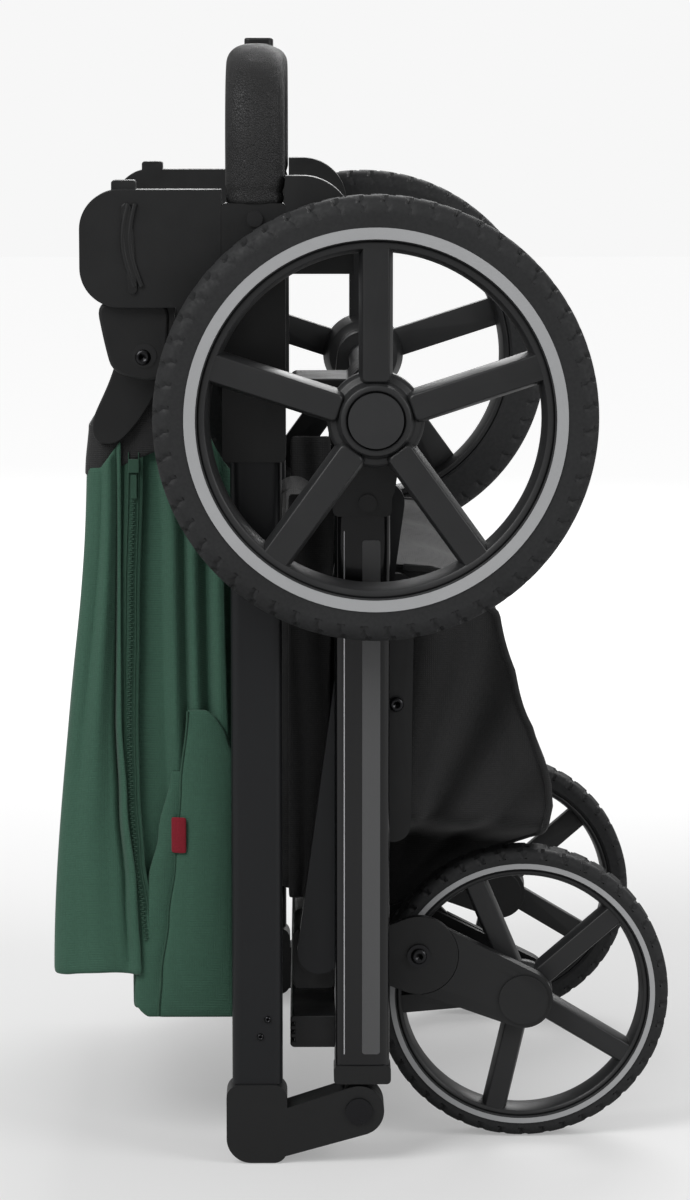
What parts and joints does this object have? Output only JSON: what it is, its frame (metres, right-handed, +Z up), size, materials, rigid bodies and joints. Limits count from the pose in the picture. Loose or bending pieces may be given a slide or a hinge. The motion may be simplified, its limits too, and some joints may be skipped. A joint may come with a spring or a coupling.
{
  "type": "jogging stroller",
  "caption": "Folded pushchair that stands on its fold hinges and front wheels, with spoked wheels, a padded push handle, a folded hood and a fabric basket.",
  "frame": {"origin": "on the ground, under the middle of the folded stroller's bounding box", "axes": "+X towards the front wheels, +Z up as it stands folded, Y across the width with the left side at -Y"},
  "size_m": [0.422, 0.6072, 0.7545],
  "materials": {
    "gloss_tube": "gloss black anodised",
    "matte_tube": "satin black powder coat",
    "black_plastic": "fine moulded grain",
    "rim_plastic": "satin moulded",
    "steel": "black oxide",
    "tyre": "matt foam rubber",
    "stripe": "reflective grey",
    "grip": "grained leatherette",
    "green_fabric": "woven green hood cloth",
    "black_fabric": "woven black cloth",
    "speckled_trim": "speckled anthracite"
  },
  "bodies": {
    "chassis": {"leg_tube_left": "gloss_tube", "leg_tube_right": "gloss_tube", "hinge_base_left": "black_plastic", "hinge_base_right": "black_plastic", "axle_housing_left": "black_plastic", "axle_housing_right": "black_plastic", "frame_pins": "steel", "rear_axle": "steel", "axle_tube": "matte_tube", "footboard": "black_plastic", "leg_trim": "speckled_trim", "frame_rivets": "black_plastic"},
    "rear_wheel_left": {"rear_rim_left": "rim_plastic", "rear_tyre_left": "tyre", "rear_stripe_left": "stripe", "rear_cap_left": "rim_plastic"},
    "rear_wheel_right": {"rear_rim_right": "rim_plastic", "rear_tyre_right": "tyre", "rear_stripe_right": "stripe", "rear_cap_right": "rim_plastic"},
    "brake": {"brake_pedal": "black_plastic"},
    "lower_rail": {"rail_left": "matte_tube", "rail_right": "matte_tube", "castor_bracket_left": "black_plastic", "castor_bracket_right": "black_plastic", "rail_cross_tube": "matte_tube", "basket": "black_fabric", "basket_strips": "black_plastic"},
    "castor_left": {"castor_left": "black_plastic"},
    "castor_right": {"castor_right": "black_plastic"},
    "fork_left": {"fork_left": "black_plastic", "front_axle_left": "steel"},
    "fork_right": {"fork_right": "black_plastic", "front_axle_right": "steel"},
    "front_wheel_left": {"front_rim_left": "rim_plastic", "front_tyre_left": "tyre", "front_stripe_left": "stripe"},
    "front_wheel_right": {"front_rim_right": "rim_plastic", "front_tyre_right": "tyre", "front_stripe_right": "stripe"},
    "handle_frame": {"handle_tube_left": "matte_tube", "handle_tube_right": "matte_tube", "hinge_arm_left": "black_plastic", "hinge_arm_right": "black_plastic", "sleeve_left": "black_plastic", "sleeve_right": "black_plastic", "armrest_left": "black_plastic", "armrest_right": "black_plastic", "handle_bar": "matte_tube", "grip_cover": "grip", "handle_rivets": "black_plastic", "seat_bars": "matte_tube", "seat_back": "black_fabric", "seat_base": "black_fabric"},
    "fold_button": {"fold_button": "black_plastic"},
    "hood_rear": {"hood_rear_fabric": "green_fabric", "hood_rear_arms": "black_plastic"},
    "hood_front": {"hood_front_fabric": "green_fabric", "hood_front_arms": "black_plastic"}
  },
  "joints": [
    {"name": "handle_fold", "type": "hinge", "parent": "chassis", "child": "handle_frame", "pos_m": [-0.0035, 0, 0.036], "axis": [0, -1, 0], "range_deg": [0, 150]},
    {"name": "rail_fold", "type": "hinge", "parent": "chassis", "child": "lower_rail", "pos_m": [0.012, 0, 0.446], "axis": [0, -1, 0], "range_deg": [0, 75]},
    {"name": "brake_tilt", "type": "hinge", "parent": "chassis", "child": "brake", "pos_m": [0.0066, 0, 0.508], "axis": [0, 1, 0], "range_deg": [0, 15]},
    {"name": "hood_front_tilt", "type": "hinge", "parent": "handle_frame", "child": "hood_front", "pos_m": [-0.145, 0, 0.546], "axis": [0, 1, 0], "range_deg": [0, 120]},
    {"name": "hood_rear_tilt", "type": "hinge", "parent": "handle_frame", "child": "hood_rear", "pos_m": [-0.145, 0, 0.546], "axis": [0, 1, 0], "range_deg": [0, 66]},
    {"name": "fold_button_press", "type": "slide", "parent": "handle_frame", "child": "fold_button", "axis": [0, 0, -1], "range_m": [0, 0.0035], "stiffness_N_per_m": 800},
    {"name": "rear_wheel_spin_left", "type": "hinge", "parent": "chassis", "child": "rear_wheel_left", "pos_m": [0.0066, -0.282, 0.508], "axis": [0, 1, 0], "continuous": true},
    {"name": "castor_swivel_left", "type": "hinge", "parent": "lower_rail", "child": "castor_left", "pos_m": [-0.038, -0.172, 0.132], "axis": [1, 0, 0], "range_deg": [-30, 30]},
    {"name": "fork_spring_left", "type": "hinge", "parent": "castor_left", "child": "fork_left", "pos_m": [0.038, -0.172, 0.132], "axis": [0, 1, 0], "range_deg": [-3, 3], "stiffness_Nm_per_rad": 250},
    {"name": "front_wheel_spin_left", "type": "hinge", "parent": "fork_left", "child": "front_wheel_left", "pos_m": [0.11, -0.172, 0.101], "axis": [0, 1, 0], "continuous": true},
    {"name": "rear_wheel_spin_right", "type": "hinge", "parent": "chassis", "child": "rear_wheel_right", "pos_m": [0.0066, 0.282, 0.508], "axis": [0, 1, 0], "continuous": true},
    {"name": "castor_swivel_right", "type": "hinge", "parent": "lower_rail", "child": "castor_right", "pos_m": [-0.038, 0.172, 0.132], "axis": [1, 0, 0], "range_deg": [-30, 30]},
    {"name": "fork_spring_right", "type": "hinge", "parent": "castor_right", "child": "fork_right", "pos_m": [0.038, 0.172, 0.132], "axis": [0, 1, 0], "range_deg": [-3, 3], "stiffness_Nm_per_rad": 250},
    {"name": "front_wheel_spin_right", "type": "hinge", "parent": "fork_right", "child": "front_wheel_right", "pos_m": [0.11, 0.172, 0.101], "axis": [0, 1, 0], "continuous": true}
  ],
  "couplings": [
    {"joint": "rail_fold", "follows": "handle_fold", "ratio": 0.5},
    {"joint": "hood_rear_tilt", "follows": "hood_front_tilt", "ratio": 0.55}
  ]
}
